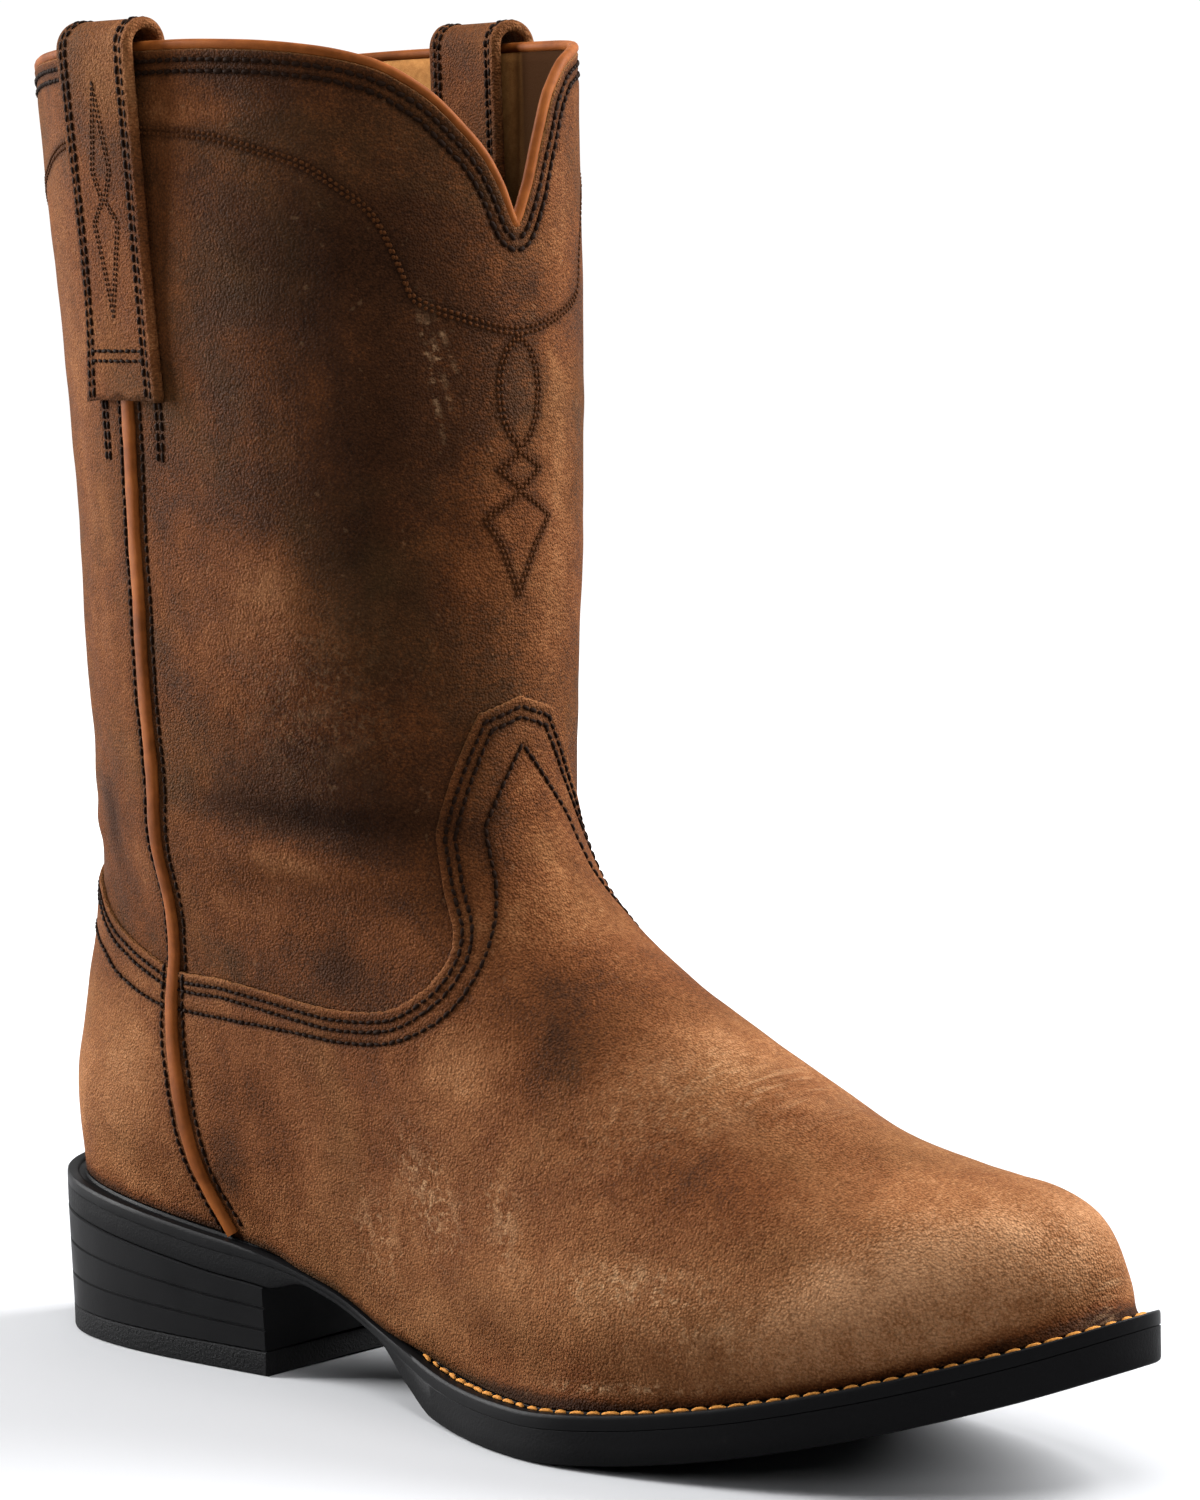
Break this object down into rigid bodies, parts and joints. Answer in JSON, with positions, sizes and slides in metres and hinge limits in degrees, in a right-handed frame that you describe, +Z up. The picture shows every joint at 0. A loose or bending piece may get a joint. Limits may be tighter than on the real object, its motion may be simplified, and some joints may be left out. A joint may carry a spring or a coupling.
{
  "type": "roper boot",
  "caption": "Pull-on leather roper boot for the right foot, with a scalloped collar, pull straps, piped side seams and a low heel on a welted rubber sole.",
  "frame": {"origin": "middle of the heel's flat floor face", "axes": "+X from the heel to the toe, +Y to the wearer's left, +Z up"},
  "size_m": [0.304, 0.1161, 0.3091],
  "materials": {
    "leather": "waxed, distressed brown",
    "strap_leather": "waxed brown, folded edges",
    "tan_leather": "smooth tan cord",
    "footbed": "matt tan lining leather",
    "sole_rubber": "satin black",
    "lift_rubber": "stippled black"
  },
  "bodies": {
    "root": {"upper": "leather", "insole": "footbed", "welt": "sole_rubber", "outsole": "sole_rubber", "heel_stack": "sole_rubber", "heel_cap": "lift_rubber", "collar_binding": "tan_leather", "piping_lateral": "tan_leather", "piping_medial": "tan_leather", "pull_strap_lateral": "strap_leather", "pull_strap_medial": "strap_leather"}
  },
  "joints": []
}
